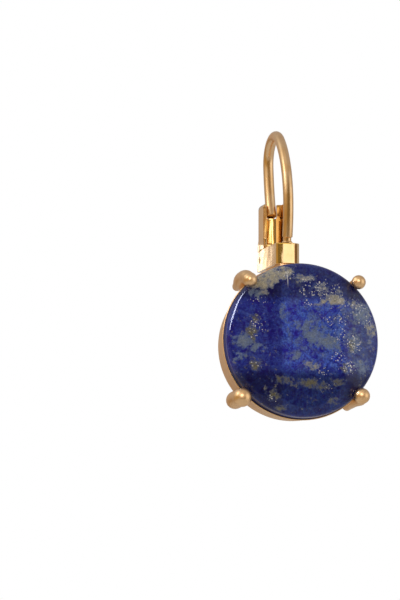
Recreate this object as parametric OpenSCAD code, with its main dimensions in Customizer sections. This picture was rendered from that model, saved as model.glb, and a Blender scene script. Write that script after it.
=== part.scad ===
// Faceted lapis lazuli drop earring with a leverback ear wire, at its real size in millimetres.
// +Z is up, the stone faces -Y and +X is to the right of a person who looks at the stone.
// The origin is the inner top of the ear wire's arch, where the earring hangs in the ear.
// Lengths in the sections below are measured from the knuckle's front face, at the stone's height.

/* [Stone] */
// Diameter of the stone at its girdle
stone_d = 15; // [12:0.5:18]
// Height of the straight band round the stone
stone_side = 0.95; // [0.6:0.05:1.2]
// Radius that rounds the stone's front edge
stone_round = 0.8; // [0.6:0.05:0.9]
// Height of the table above the cup's lip
table_rise = 2.5; // [2.3:0.05:2.8]
// Half the width of the square table
table_half = 3.2; // [2.5:0.1:3.8]
// Slope of the side facets, in degrees
facet_slope = 11.3; // [9:0.1:13]
// Turn of the facet grid about the stone's axis, in degrees
facet_turn = 3; // [0:1:10]
// Depth of the stone inside the cup
stone_sunk = 2.4; // [1.5:0.1:2.8]
// Distance of the stone's girdle in front of the knuckle
stone_ahead = 5; // [4.6:0.1:5.4]
// Upward tilt of the stone's face, in degrees
face_tilt = 3; // [0:1:5]

/* [Cup] */
// Outer diameter of the cup at its lip
cup_d = 15.24; // [15.2:0.02:15.4]
// Outer diameter of the cup at its back
cup_back_d = 14.1; // [13.8:0.1:14.4]
// Depth of the cup from its lip to its back
cup_depth = 4.6; // [4.4:0.1:4.7]
// Thickness of the cup's wall
cup_wall = 0.4; // [0.35:0.05:0.5]
// Thickness of the cup's closed back
cup_floor = 0.6; // [0.4:0.1:0.9]

/* [Prongs] */
// Direction of each prong round the stone, in degrees from the right
prong_angle = [46, 133, 224, 316]; // [0:1:359]
// Diameter of each prong's ball
ball_d = [1.35, 1.4, 1.6, 1.4]; // [1.3:0.05:1.65]
// Diameter of each prong's arm where it is thickest
arm_d = [1.05, 1.5, 1.6, 1.05]; // [1:0.05:1.65]
// Diameter of a prong's arm at its foot
foot_d = 0.9; // [0.8:0.05:1]
// Distance of a prong's foot from the stone's axis
foot_reach = 7.85; // [7.7:0.05:7.9]
// Distance of the smallest ball's centre from the stone's axis
ball_reach = 7.9; // [7.9:0.05:8.1]
// Height of the smallest ball's centre above the cup's lip
ball_rise = 1.97; // [1.95:0.01:2.1]

/* [Knuckle] */
// Width of the knuckle
knuckle_w = 2.4; // [2.3:0.1:2.6]
// Length of the knuckle from front to back
knuckle_l = 8; // [7.9:0.1:8.2]
// Height of the knuckle's underside above the stone's axis
knuckle_low = 8.05; // [8:0.05:8.2]
// Height of the knuckle's top above the stone's axis
knuckle_top = 10.1; // [10.1:0.05:10.2]
// Thickness of the knuckle's side walls
knuckle_wall = 0.38; // [0.35:0.01:0.42]
// Thickness of the knuckle's floor
knuckle_floor = 0.42; // [0.35:0.01:0.45]
// Length of the solid front of the knuckle
knuckle_nose = 1.75; // [1.5:0.05:2]
// Radius of the knuckle's upright front corners
knuckle_round = 0.45; // [0.3:0.05:0.5]

/* [Ear wire] */
// Diameter of the ear wire
wire_d = 1; // [0.9:0.05:1]
// Diameter of the wire's polished foot
tenon_d = 0.8; // [0.7:0.05:0.8]
// Depth of the foot's socket in the knuckle
socket_deep = 1.3; // [1:0.1:1.4]
// Forward lean of the wire where it leaves its foot, in degrees
wire_lean = 14; // [12:1:15]

/* [Lever] */
// Width of the lever
lever_w = 2.4; // [2.3:0.1:2.4]
// Height of the lever's tip above the stone's axis
lever_tip = 14.6; // [14.4:0.1:14.8]
// Distance of the lever's back behind the knuckle's front
lever_back = 7.55; // [7.5:0.05:7.6]
// Depth of the lever's channel from front to back
lever_deep = 2.05; // [1.8:0.05:2.1]
// Thickness of the lever's walls
lever_wall = 0.33; // [0.3:0.01:0.35]
// Width of the notch that takes the wire's end
notch_w = 1.24; // [1.2:0.02:1.3]
// Radius of the rounded corners at the lever's tip
tip_round = 0.55; // [0.4:0.05:0.57]
// Width of the raised tongue in the channel at its top
tongue_top_w = 0.2; // [0.15:0.05:0.3]
// Width of the raised tongue in the channel at its bottom
tongue_low_w = 0.44; // [0.4:0.02:0.5]
// Distance of the hinge pin behind the knuckle's front
pin_y = 7.1; // [7.1:0.05:7.15]
// Height of the hinge pin above the stone's axis
pin_z = 9.15; // [9.15:0.01:9.2]
// Diameter of the hinge pin
pin_d = 0.6; // [0.5:0.05:0.6]

/* [Fits] */
// Gap between neighbouring pieces
gap = 0.05; // [0.03:0.01:0.06]
// Radial clearance of the hinge pin in the lever
pin_gap = 0.04; // [0.03:0.01:0.06]

/* [Hidden] */
$fn = 64;
satin_gold = [0.78, 0.6, 0.38];
bright_gold = [0.95, 0.78, 0.42];
lapis_blue = [0.1, 0.16, 0.45];
overlap = 0.01;

// Bends of the ear wire from its foot to its end: [radius, angle that it turns]
wire_bends = [
    [14, 10],
    [8.25, 60],
    [3.3, 70],
    [2.25, 61],
    [20, 15]
];
wire_start_y = 0.52;
wire_start_z = 10.7;

// Where each bend starts: its heading from upright, and its place back and up
function heading(i) = i == 0 ? -wire_lean : heading(i - 1) + wire_bends[i - 1][1];
function bend_y(i) = i == 0 ? wire_start_y
    : bend_y(i - 1) + wire_bends[i - 1][0] * (cos(heading(i - 1)) - cos(heading(i)));
function bend_z(i) = i == 0 ? wire_start_z
    : bend_z(i - 1) + wire_bends[i - 1][0] * (sin(heading(i)) - sin(heading(i - 1)));

// The arch's top lies in the third bend, where the wire's heading is level
top_bend = 2;
arch_y = bend_y(top_bend) + wire_bends[top_bend][0] * cos(heading(top_bend));
arch_z = bend_z(top_bend) + wire_bends[top_bend][0] * (1 - sin(heading(top_bend)));
hang_z = arch_z - wire_d / 2;

// Places everything that follows so that the hanging point is the origin
module hung() { translate([0, -arch_y, -hang_z]) children(); }

// Stands a piece that is turned about Z on the stone's axis, with its lip plane at 0 and Z forward
module on_face() {
    translate([0, -stone_ahead, 0])
        rotate([90 - face_tilt, 0, 0])
            translate([0, 0, -stone_side / 2 - gap])
                children();
}

// Lays a flat outline drawn as [back, up] in the wire's plane and gives it a width along X
module across(width) {
    translate([-width / 2, 0, 0]) rotate([90, 0, 90]) linear_extrude(width) children();
}

// Round rod along X
module rod(d, width) { across(width) circle(d = d); }

// The stone: a round with a rounded edge, cut by a table, four side facets and four corner facets
stone_r = stone_d / 2;
side_top = gap + stone_side;
round_end = 66;
cone_fall = tan(90 - round_end);
core_r = stone_r - stone_round;
edge_r = core_r + stone_round * cos(round_end);
edge_z = side_top + stone_round * sin(round_end);
seat_in = 0.35;
seat_fall = 0.42;
back_in = 1.95;
slab = 4 * stone_r;

module stone_round_body() {
    rotate_extrude($fn = 96) {
        polygon([[0, -stone_sunk], [stone_r - back_in, -stone_sunk], [stone_r - seat_in, gap - seat_fall],
                 [stone_r, gap], [stone_r, side_top], [core_r, side_top], [0, side_top]]);
        intersection() {
            translate([core_r, side_top]) circle(r = stone_round);
            translate([core_r, side_top - overlap]) square([2 * stone_round, 2 * stone_round]);
        }
        polygon([[0, side_top - overlap], [core_r, side_top - overlap], [core_r, edge_z],
                 [edge_r, edge_z], [0, edge_z + edge_r * cone_fall]]);
    }
}

// Half-space over a facet that leans outwards in the direction dx, dy from the table's edges
module over_facet(dx, dy) {
    lean = atan(tan(facet_slope) * norm([dx, dy]));
    turn = atan2(dy, dx);
    start = table_half * (abs(dx) + abs(dy)) / norm([dx, dy]);
    rotate([0, 0, turn])
        translate([start, 0, table_rise])
            rotate([0, lean, 0])
                translate([-slab / 2, -slab / 2, 0])
                    cube([slab, slab, slab]);
}

module stone() {
    color(lapis_blue) hung() on_face()
        difference() {
            stone_round_body();
            translate([-slab / 2, -slab / 2, table_rise]) cube([slab, slab, slab]);
            rotate([0, 0, facet_turn])
                for (dx = [-1, 0, 1], dy = [-1, 0, 1])
                    if (dx != 0 || dy != 0) over_facet(dx, dy);
        }
}

// The cup: a closed, tapered shell whose lip has a seat for the stone's underside
cup_r = cup_d / 2;
cup_back_r = cup_back_d / 2;
back_chamfer = 0.35;
seat_r = stone_r - seat_in + gap;
floor_z = -cup_depth + cup_floor;
floor_r = cup_back_r - cup_wall;

module cup() {
    rotate_extrude($fn = 96)
        polygon([[0, -cup_depth], [cup_back_r - back_chamfer, -cup_depth],
                 [cup_back_r, -cup_depth + back_chamfer], [cup_r, 0], [stone_r + gap, 0],
                 [seat_r, -seat_fall], [floor_r, floor_z], [0, floor_z]]);
}

// A prong: an arm that is soldered to the cup's wall, an elbow and a ball that holds the stone's edge.
// Each prong is worked by hand, so its ball and its arm have sizes of their own.
foot = [foot_reach, -4.2];
arm_in = 7.345;
arm_z = -1.4;
slim_arm = 1.05;
elbow_in = stone_r + 0.13;
elbow_z = 0.75;
slim_elbow = 0.98;
elbow_per_arm = 0.49;
small_ball = 1.35;
joint_inset = 0.06;
neck_inset = 0.12;

function elbow_d(i) = slim_elbow + elbow_per_arm * (arm_d[i] - slim_arm);
function thick_at(i) = [arm_in + arm_d[i] / 2, arm_z];
function elbow_at(i) = [elbow_in + elbow_d(i) / 2, elbow_z];
function ball_at(i) = [ball_reach, ball_rise] + (ball_d[i] - small_ball) * [0.55, 0.3];

// Tapered rod between two points of a prong's own plane, each given as [outwards, forwards]
module arm(p, q, d_p, d_q) {
    run = q - p;
    translate([p[0], 0, p[1]])
        rotate([0, atan2(run[0], run[1]), 0])
            cylinder(h = norm(run), d1 = d_p, d2 = d_q, $fn = 32);
}

module round_end_at(p, d) { translate([p[0], 0, p[1]]) sphere(d = d, $fn = 32); }

module prong(i) {
    arm(foot, thick_at(i), foot_d - joint_inset, arm_d[i] - joint_inset);
    arm(thick_at(i), elbow_at(i), arm_d[i] - joint_inset, elbow_d(i) - joint_inset);
    arm(elbow_at(i), ball_at(i), elbow_d(i) - neck_inset, elbow_d(i) - neck_inset);
    round_end_at(foot, foot_d);
    round_end_at(thick_at(i), arm_d[i]);
    round_end_at(elbow_at(i), elbow_d(i));
    round_end_at(ball_at(i), ball_d[i]);
}

// The knuckle: a channel open at the top and back, with a solid nose that holds the wire's foot
knuckle_h = knuckle_top - knuckle_low;
knuckle_in = knuckle_w - 2 * knuckle_wall;
end_r = knuckle_l - pin_y;
socket_r = tenon_d / 2 + gap / 2;
rivet_gap = 0.01;
tenon_y = 0.62;

module knuckle_plan() {
    for (side = [-1, 1])
        translate([side * (knuckle_w / 2 - knuckle_round), knuckle_round]) circle(r = knuckle_round);
    translate([-knuckle_w / 2 + knuckle_round, 0]) square([knuckle_w - 2 * knuckle_round, knuckle_l]);
    translate([-knuckle_w / 2, knuckle_round]) square([knuckle_w, knuckle_l - knuckle_round]);
}

module knuckle_side() {
    translate([0, knuckle_low]) square([knuckle_l, pin_z - knuckle_low]);
    translate([0, pin_z - overlap]) square([pin_y, knuckle_top - pin_z + overlap]);
    translate([pin_y, pin_z]) circle(r = end_r);
}

// Solder neck that joins the knuckle to the cup's back edge, with a strip along the knuckle's underside
neck_w = 1.7;
neck_front = -1.3;
neck_seat = 6.75;
neck_low = 6;
neck_seat_back = 0;
neck_back = 1.25;
fillet_front_r = 1.35;
fillet_rise = 0.2;
fillet_back_r = 1.3;
strip_w = 1.5;
strip_front = 0.3;
strip_back = 6.2;
strip_low = knuckle_low - 0.14;

module neck() {
    across(neck_w)
        difference() {
            polygon([[neck_front, neck_seat], [neck_seat_back, neck_seat], [neck_seat_back, neck_low],
                     [neck_back, neck_low], [neck_back + fillet_back_r, strip_low],
                     [neck_back + fillet_back_r, knuckle_low + overlap],
                     [neck_front, knuckle_low + overlap]]);
            translate([neck_front, neck_seat + fillet_rise + fillet_front_r]) circle(r = fillet_front_r);
            translate([neck_back + fillet_back_r, strip_low - fillet_back_r]) circle(r = fillet_back_r);
        }
    across(strip_w)
        translate([strip_front, strip_low])
            square([strip_back - strip_front, knuckle_low + overlap - strip_low]);
}

module knuckle() {
    difference() {
        intersection() {
            translate([0, 0, knuckle_low]) linear_extrude(knuckle_h) knuckle_plan();
            across(2 * knuckle_w) knuckle_side();
        }
        translate([-knuckle_in / 2, knuckle_nose, knuckle_low + knuckle_floor])
            cube([knuckle_in, knuckle_l, knuckle_h]);
        translate([0, tenon_y, knuckle_top - socket_deep]) cylinder(h = 2 * socket_deep, r = socket_r);
        translate([0, pin_y, pin_z]) rod(pin_d + 2 * rivet_gap, 2 * knuckle_w);
    }
}

module setting() {
    color(satin_gold) hung() {
        on_face() {
            cup();
            for (i = [0:len(prong_angle) - 1]) rotate([0, 0, prong_angle[i]]) prong(i);
        }
        neck();
        knuckle();
    }
}

// The ear wire: a foot in the knuckle's socket and a chain of bends up, over and down to its end
joint_swell = 0.004;

module wire_bend(i) {
    r = wire_bends[i][0];
    turn = wire_bends[i][1];
    translate([0, bend_y(i) + r * cos(heading(i)), bend_z(i) - r * sin(heading(i))])
        rotate([90, 0, 90])
            rotate([0, 0, 180 - heading(i) - turn])
                rotate_extrude(angle = turn, $fn = 48)
                    translate([r, 0]) circle(d = wire_d, $fn = 32);
}

module ear_hook() {
    color(satin_gold) hung() {
        translate([0, tenon_y, knuckle_top - socket_deep + gap])
            cylinder(h = wire_start_z - knuckle_top + socket_deep, d = tenon_d);
        for (i = [0:len(wire_bends) - 1]) {
            wire_bend(i);
            translate([0, bend_y(i), bend_z(i)]) sphere(d = wire_d + joint_swell, $fn = 32);
        }
    }
}

// The lever: a channel that takes the wire's end, on a cam that turns on the pin inside the knuckle
shoulder_z = knuckle_top + gap;
lever_front = lever_back - lever_deep;
cam_r = 0.6;
cam_w = knuckle_in - 2 * gap;
cam_flat = 0.05;
cam_rise = 1.25;
clear_r = end_r + gap + 0.02;
cut_past = 1;
base_rise = 0.35;
front_round = 0.55;
foot_front = lever_front - 0.1;
foot_back = knuckle_l - 0.12;
foot_top = 10.5;
foot_low = 9.98;
foot_under = pin_y + 0.45;
waist_top = 11.1;
notch_low = 13.05;
tongue_low = 10.75;
tongue_high = 12.9;
tongue_rise = 0.16;
heel_w = 0.86;
heel_rise = 0.1;
heel_low = shoulder_z + 0.3;

module lever_side() {
    polygon([[lever_front + front_round, lever_tip], [lever_back, lever_tip], [lever_back, waist_top],
             [foot_back, foot_top], [foot_back, foot_low], [foot_under, foot_low], [pin_y, shoulder_z],
             [foot_front, shoulder_z], [foot_front, foot_top], [lever_front, waist_top],
             [lever_front, lever_tip - front_round]]);
    translate([lever_front + front_round, lever_tip - front_round]) circle(r = front_round);
}

module tip_plan() {
    w = lever_w / 2;
    translate([-w, 0]) square([lever_w, lever_tip - tip_round]);
    translate([-w + tip_round, 0]) square([lever_w - 2 * tip_round, lever_tip]);
    for (side = [-1, 1]) translate([side * (w - tip_round), lever_tip - tip_round]) circle(r = tip_round);
}

module lever_channel() {
    inner = lever_w - 2 * lever_wall;
    cut_y = lever_front - cut_past;
    difference() {
        intersection() {
            across(lever_w) lever_side();
            translate([0, 2 * knuckle_l, 0]) rotate([90, 0, 0]) linear_extrude(2 * knuckle_l) tip_plan();
        }
        translate([-inner / 2, cut_y, shoulder_z + base_rise])
            cube([inner, lever_deep + cut_past - lever_wall, lever_tip]);
        translate([-notch_w / 2, cut_y, notch_low]) cube([notch_w, lever_deep + 2 * cut_past, lever_tip]);
        translate([0, pin_y, pin_z]) rod(2 * clear_r, 2 * lever_w);
    }
}

// The raised tongue widens downwards and ends on a wider heel
module tongue() {
    back = lever_back - lever_wall + overlap;
    translate([0, back, 0]) rotate([90, 0, 0]) linear_extrude(tongue_rise)
        polygon([[-tongue_low_w / 2, tongue_low], [tongue_low_w / 2, tongue_low],
                 [tongue_top_w / 2, tongue_high], [-tongue_top_w / 2, tongue_high]]);
    translate([-heel_w / 2, back - tongue_rise - heel_rise, heel_low])
        cube([heel_w, tongue_rise + heel_rise, tongue_low - heel_low]);
}

module lever_cam() {
    difference() {
        union() {
            translate([0, pin_y, pin_z]) rod(2 * cam_r, cam_w);
            translate([-cam_w / 2, pin_y - cam_r + cam_flat, pin_z])
                cube([cam_w, 2 * (cam_r - cam_flat), cam_rise]);
        }
        translate([0, pin_y, pin_z]) rod(pin_d + 2 * pin_gap, 2 * cam_w);
    }
}

module lever() {
    color(bright_gold) hung() {
        lever_channel();
        tongue();
        lever_cam();
    }
}

module hinge_pin() {
    color(bright_gold) hung() translate([0, pin_y, pin_z]) rod(pin_d, knuckle_w);
}

setting();
stone();
ear_hook();
lever();
hinge_pin();
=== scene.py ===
"""Looks of a lapis lazuli leverback drop earring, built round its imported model."""
from functools import reduce
from math import atan2, ceil, copysign, cos, pi, radians, sin, sqrt, tan
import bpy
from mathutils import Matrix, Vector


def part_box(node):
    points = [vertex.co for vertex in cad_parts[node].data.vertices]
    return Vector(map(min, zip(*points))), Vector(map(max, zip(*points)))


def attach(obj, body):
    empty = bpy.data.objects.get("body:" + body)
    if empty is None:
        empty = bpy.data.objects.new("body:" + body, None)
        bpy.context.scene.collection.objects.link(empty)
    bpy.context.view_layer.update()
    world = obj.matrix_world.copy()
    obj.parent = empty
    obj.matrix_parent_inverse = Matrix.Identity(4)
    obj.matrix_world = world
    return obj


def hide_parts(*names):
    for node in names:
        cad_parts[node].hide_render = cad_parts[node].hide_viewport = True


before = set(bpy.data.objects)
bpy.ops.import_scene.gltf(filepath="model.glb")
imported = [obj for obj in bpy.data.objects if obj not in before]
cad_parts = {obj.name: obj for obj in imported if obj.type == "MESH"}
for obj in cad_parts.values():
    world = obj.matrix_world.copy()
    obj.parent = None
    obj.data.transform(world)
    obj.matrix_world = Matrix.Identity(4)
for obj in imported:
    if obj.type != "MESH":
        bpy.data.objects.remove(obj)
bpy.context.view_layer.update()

from types import SimpleNamespace

import bmesh
import bpy
from mathutils import Matrix, Vector

bl_info = {
    "name": "Lapis Leverback Earring",
    "version": (1, 0, 0),
    "blender": (4, 5, 0),
    "location": "View3D > Sidebar > Earring",
    "description": "Makes a faceted lapis lazuli drop earring with a leverback ear wire, piece by piece",
    "category": "Add Mesh",
}

MM = 0.001

# Pieces are drawn in millimetres from the knuckle's front face at the stone's height, where +Y is back.
# The hinge pin's box in the frame ties that drawing to the frame.
PIN_BACK = 7.1
PIN_UP = 9.15
PIN_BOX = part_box("hinge_pin")
PIN_CENTRE = (PIN_BOX[0] + PIN_BOX[1]) / 2
TO_FRAME = Matrix.Translation(PIN_CENTRE - MM * Vector((0, PIN_BACK, PIN_UP))) @ Matrix.Diagonal((MM, MM, MM, 1))
KNUCKLE_BOTTOM = 8.05
KNUCKLE_TOP = 10.1
PIN_HOLE_GAP = 0.01
PIECE_GAP = 0.05
# How far a cutting solid reaches past the one that it cuts
PAST = 1
BRIGHT_EDGE = 0.05
EDGE_FROM = radians(30)
EDGE_STEPS = 3
SHARP = radians(40)
FLAT_FROM = 0.25
SPOKES = 40
# How closely arcs are drawn: the step of a rounded corner, and the degrees of a quarter turn
CORNER_STEP = radians(7)
QUARTER = range(0, 91, 10)
# Half the angle between two edges from which their corner is left as it is
NEARLY_STRAIGHT = radians(89)
DOUBLES = 1e-5


def amount(label, value, about, **kind):
    return bpy.props.FloatProperty(name=label, description=about, default=value, **kind)


def length(label, millimetres, about):
    return amount(label, millimetres * MM, about, precision=5, subtype="DISTANCE", unit="LENGTH")


def angle(label, degrees, about):
    return amount(label, radians(degrees), about, subtype="ANGLE", unit="ROTATION")


def level(label, value, about):
    return amount(label, value, about, min=0, soft_max=1, subtype="FACTOR")


def colour(label, rgb, about):
    return bpy.props.FloatVectorProperty(name=label, description=about, size=3, default=rgb, min=0, max=1,
                                         subtype="COLOR")


class StoneSettings(bpy.types.PropertyGroup):
    """Sizes and colours of the lapis stone"""

    diameter: length("Diameter", 15, "Width of the stone at its girdle")
    side: length("Side", 0.95, "Height of the straight band round the stone")
    edge_round: length("Edge Radius", 0.8, "Radius that rounds the front edge")
    table_rise: length("Table Height", 2.5, "Height of the table above the cup's lip")
    table_half: length("Table Half Width", 3.2, "Half the width of the square table")
    facet_slope: angle("Facet Slope", 11.3, "Slope of the side facets")
    facet_turn: angle("Facet Turn", 3, "Turn of the facet grid about the stone's axis")
    facet_soft: length("Facet Softness", 0.16, "Width over which polishing rounds a facet's edge")
    sunk: length("Sunk Depth", 2.4, "Depth of the stone inside the cup")
    ahead: length("Distance Ahead", 5, "Distance of the girdle in front of the knuckle")
    face_tilt: angle("Face Tilt", 3, "Upward tilt of the stone's face")
    table_across: length("Table Across", 0.55, "Shift of the table to the right of the stone's middle")
    table_up: length("Table Up", -0.35, "Shift of the table above the stone's middle")
    deep_blue: colour("Deep Blue", (0.01, 0.026, 0.43), "Darkest blue of the lapis")
    violet: colour("Violet Blue", (0.03, 0.019, 0.46), "Darkest violet parts of the stone")
    clear_blue: colour("Clear Blue", (0.06, 0.125, 0.72), "Brighter blue of the lapis")
    bright_blue: colour("Bright Blue", (0.14, 0.3, 0.9), "Thin veins in the lapis")
    steel: colour("Steel Blue", (0.16, 0.24, 0.47), "Thin veils in the lapis")
    slate: colour("Slate", (0.26, 0.33, 0.41), "Bluish grey patches in the lapis")
    calcite: colour("Calcite", (0.5, 0.48, 0.4), "Grey patches in the lapis")
    olive: colour("Olive", (0.19, 0.18, 0.1), "Brownish green patches in the lapis")
    pyrite: colour("Pyrite", (0.95, 0.98, 1.0), "Metal specks in the lapis")


class SettingSettings(bpy.types.PropertyGroup):
    """Sizes of the cup, its prongs and the knuckle"""

    lip_diameter: length("Lip Diameter", 15.24, "Outer diameter of the cup at its lip")
    back_diameter: length("Back Diameter", 14.1, "Outer diameter of the cup at its back")
    depth: length("Depth", 4.6, "Depth of the cup from its lip to its back")
    wall: length("Wall", 0.4, "Thickness of the cup's wall")
    floor: length("Back Thickness", 0.6, "Thickness of the cup's closed back")
    foot: length("Foot Diameter", 0.9, "Diameter of a prong's arm at its foot")
    foot_reach: length("Foot Reach", 7.85, "Distance of a prong's foot from the stone's axis")
    ball_reach: length("Ball Reach", 7.9, "Distance of the smallest ball's centre from the stone's axis")
    ball_rise: length("Ball Rise", 1.97, "Height of the smallest ball's centre above the cup's lip")
    knuckle_width: length("Knuckle Width", 2.4, "Width of the knuckle")
    knuckle_length: length("Knuckle Length", 8, "Length of the knuckle from front to back")
    knuckle_wall: length("Knuckle Wall", 0.38, "Thickness of the knuckle's side walls")
    knuckle_floor: length("Knuckle Floor", 0.42, "Thickness of the knuckle's floor")
    nose: length("Nose", 1.75, "Length of the solid front of the knuckle")
    corner: length("Corner Radius", 0.32, "Radius of the knuckle's upright front corners")


class WireSettings(bpy.types.PropertyGroup):
    """Sizes of the ear wire and the hinge pin"""

    thickness: length("Thickness", 1, "Diameter of the ear wire")
    tenon: length("Tenon Diameter", 0.8, "Diameter of the polished foot")
    lean: angle("Lean", 14, "Forward lean of the wire where it leaves its foot")
    end_round: length("End Radius", 0.08, "Radius that rounds the wire's cut ends")
    pin: length("Pin Diameter", 0.6, "Diameter of the hinge pin")


class LeverSettings(bpy.types.PropertyGroup):
    """Sizes of the lever"""

    width: length("Width", 2.4, "Width of the lever")
    tip: length("Tip", 14.6, "Height of the lever's tip above the stone's axis")
    back: length("Back", 7.55, "Distance of the lever's back behind the knuckle's front")
    depth: length("Depth", 2.05, "Depth of the channel from front to back")
    wall: length("Wall", 0.33, "Thickness of the lever's walls")
    notch: length("Notch Width", 1.12, "Width of the notch that takes the wire's end")
    notch_low: length("Notch Bottom", 13.26, "Height of the notch's bottom above the stone's axis")
    tongue_top: length("Tongue Top Width", 0.2, "Width of the raised tongue at its top")
    tongue_low: length("Tongue Bottom Width", 0.44, "Width of the raised tongue at its bottom")


class FinishSettings(bpy.types.PropertyGroup):
    """Colours and finishes of the gold"""

    satin: colour("Satin Gold", (0.88, 0.61, 0.34), "Colour of the satin gold")
    satin_roughness: level("Satin Roughness", 0.3, "Roughness of the satin gold on the ear wire")
    matte_roughness: level("Matte Roughness", 0.38, "Roughness of the cast gold on the cup and its prongs")
    bright: colour("Bright Gold", (0.94, 0.69, 0.37), "Colour of the polished gold")
    bright_roughness: level("Bright Roughness", 0.09, "Roughness of the polished gold")


class StageSettings(bpy.types.PropertyGroup):
    """Floor, backdrop, lights and camera"""

    camera_distance: length("Camera Distance", 1600, "Distance of the camera from the stone")
    azimuth: angle("Azimuth", -13.5, "Side from which the camera looks")
    elevation: angle("Elevation", -6.3, "Height of the camera above the stone, as an angle")
    floor_drop: length("Floor Drop", 320, "Distance of the floor below the hanging point")
    paper: colour("Paper", (0.88, 0.88, 0.88), "Colour of the floor and backdrop")


def own_properties(group):
    return [prop for prop in group.bl_rna.properties if prop.identifier not in ("rna_type", "name")]


def in_mm(scene):
    """All the settings by group and name, with their lengths in millimetres"""
    groups = {}
    for key in GROUPS:
        group, values = getattr(scene, key), {}
        for prop in own_properties(group):
            value = getattr(group, prop.identifier)
            values[prop.identifier] = value / MM if prop.unit == "LENGTH" else value
        groups[key.removeprefix("earring_")] = SimpleNamespace(**values)
    return SimpleNamespace(**groups)


class Signal:
    """A node's output that takes plain arithmetic, where each step adds a node"""

    def __init__(self, graph, socket):
        self.graph, self.socket = graph, socket

    def __add__(self, other):
        return self.graph.math("ADD", self, other)

    def __sub__(self, other):
        return self.graph.math("SUBTRACT", self, other)

    def __mul__(self, other):
        return self.graph.math("MULTIPLY", self, other)

    def __truediv__(self, other):
        return self.graph.math("DIVIDE", self, other)


class Made:
    """A node whose outputs are read as signals, by name or place"""

    def __init__(self, graph, node):
        self.graph, self.node = graph, node

    def __getitem__(self, key):
        return Signal(self.graph, self.node.outputs[key])


class Graph:
    """Short calls that wire a node tree"""

    def __init__(self, tree):
        self.tree = tree

    def feed(self, node, inputs):
        """Gives a node's inputs their links and values, where a colour is opaque"""
        for key, value in inputs.items():
            socket = node.inputs[key]
            if isinstance(value, Signal):
                self.tree.links.new(value.socket, socket)
            else:
                socket.default_value = (*value, 1.0) if socket.type == "RGBA" else value

    def add(self, kind, inputs=None, **settings):
        node = self.tree.nodes.new(kind)
        for key, value in settings.items():
            setattr(node, key, value)
        self.feed(node, inputs or {})
        return Made(self, node)

    def math(self, operation, *values):
        """A math node, or one for vectors where the first signal is a vector or a colour"""
        first = next(value for value in values if isinstance(value, Signal))
        if first.socket.type == "VALUE":
            return self.add("ShaderNodeMath", dict(enumerate(values)), operation=operation)[0]
        values = [(value,) * 3 if isinstance(value, float) else value for value in values]
        return self.add("ShaderNodeVectorMath", dict(enumerate(values)), operation=operation)[0]

    def span(self, value, low, high, out_low=0.0, out_high=1.0, kind="LINEAR"):
        """A value's run from low to high, made a run from out_low to out_high"""
        return self.add("ShaderNodeMapRange", {"Value": value, "From Min": low, "From Max": high, "To Min": out_low,
                                               "To Max": out_high}, interpolation_type=kind)["Result"]

    def mix(self, share, low, high, blend="MIX"):
        """A blend of two colours"""
        return self.add("ShaderNodeMix", {0: share, 6: low, 7: high}, data_type="RGBA", blend_type=blend)[2]

    def noise(self, place, scale, detail, roughness, output="Fac"):
        return self.add("ShaderNodeTexNoise", {"Vector": place, "Scale": scale, "Detail": detail,
                                               "Roughness": roughness})[output]

    def bump(self, height, strength, depth):
        """A normal for a height whose full swing is a depth in millimetres"""
        return self.add("ShaderNodeBump", {"Height": height, "Strength": strength, "Distance": depth * MM})[0]

    def arc(self, radius, off):
        """Half the width of a ball's cut at a distance off its middle"""
        return self.math("SQRT", self.math("MAXIMUM", radius * radius - off * off, 0.0))

    def swept(self, curve, thick, spokes):
        """A round bar along a curve"""
        sized = self.add("GeometryNodeSetCurveRadius", {"Curve": curve, "Radius": thick})
        ring = self.add("GeometryNodeCurvePrimitiveCircle", {"Resolution": spokes, "Radius": 1.0})
        return self.add("GeometryNodeCurveToMesh", {"Curve": sized[0], "Profile Curve": ring[0], "Fill Caps": True,
                                                    "Scale": self.add("GeometryNodeInputRadius")[0]})[0]

    def dressed(self, geometry, material):
        """Ends a geometry tree with real instances and their material"""
        real = self.add("GeometryNodeRealizeInstances", {"Geometry": geometry})
        done = self.add("GeometryNodeSetMaterial", {"Geometry": real[0], "Material": material})
        self.add("NodeGroupOutput", {"Geometry": done[0]})
        return self.tree


def new_group(name, kind, inputs, outputs):
    """A node group's graph and its inputs as signals: a socket is given by its default or its type's name"""
    tree = bpy.data.node_groups.new(name, kind)
    for way, sockets in (("INPUT", inputs), ("OUTPUT", outputs)):
        for label, value in sockets.items():
            named = isinstance(value, str)
            size = len(value) if isinstance(value, tuple) else 1
            socket_type = value if named else {1: "Float", 3: "Vector", 4: "Color"}[size]
            socket = tree.interface.new_socket(label, in_out=way, socket_type="NodeSocket" + socket_type)
            if not named:
                socket.default_value = value
    graph = Graph(tree)
    given = graph.add("NodeGroupInput")
    return graph, [given[label] for label in inputs]


def new_maker(name, inputs):
    """A geometry tree's graph and its inputs, of which its material is the last"""
    return new_group(name, "GeometryNodeTree", {**inputs, "Material": "Material"}, {"Geometry": "Geometry"})


def new_material(name):
    """A material, its graph and its shader"""
    material = bpy.data.materials.new(name)
    material.use_nodes = True
    return material, Graph(material.node_tree), material.node_tree.nodes["Principled BSDF"]


def new_object(name, data):
    made = bpy.data.objects.new(name, data)
    bpy.context.scene.collection.objects.link(made)
    return made


def result_of(obj):
    """A plain mesh of what an object's modifiers make, without them"""
    graph = bpy.context.evaluated_depsgraph_get()
    mesh = bpy.data.meshes.new_from_object(obj.evaluated_get(graph), depsgraph=graph)
    obj.modifiers.clear()
    return mesh


def settled(obj):
    """The object with its modifiers applied"""
    old = obj.data
    obj.data = result_of(obj)
    if old.users == 0:
        bpy.data.meshes.remove(old)
    return obj


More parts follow.
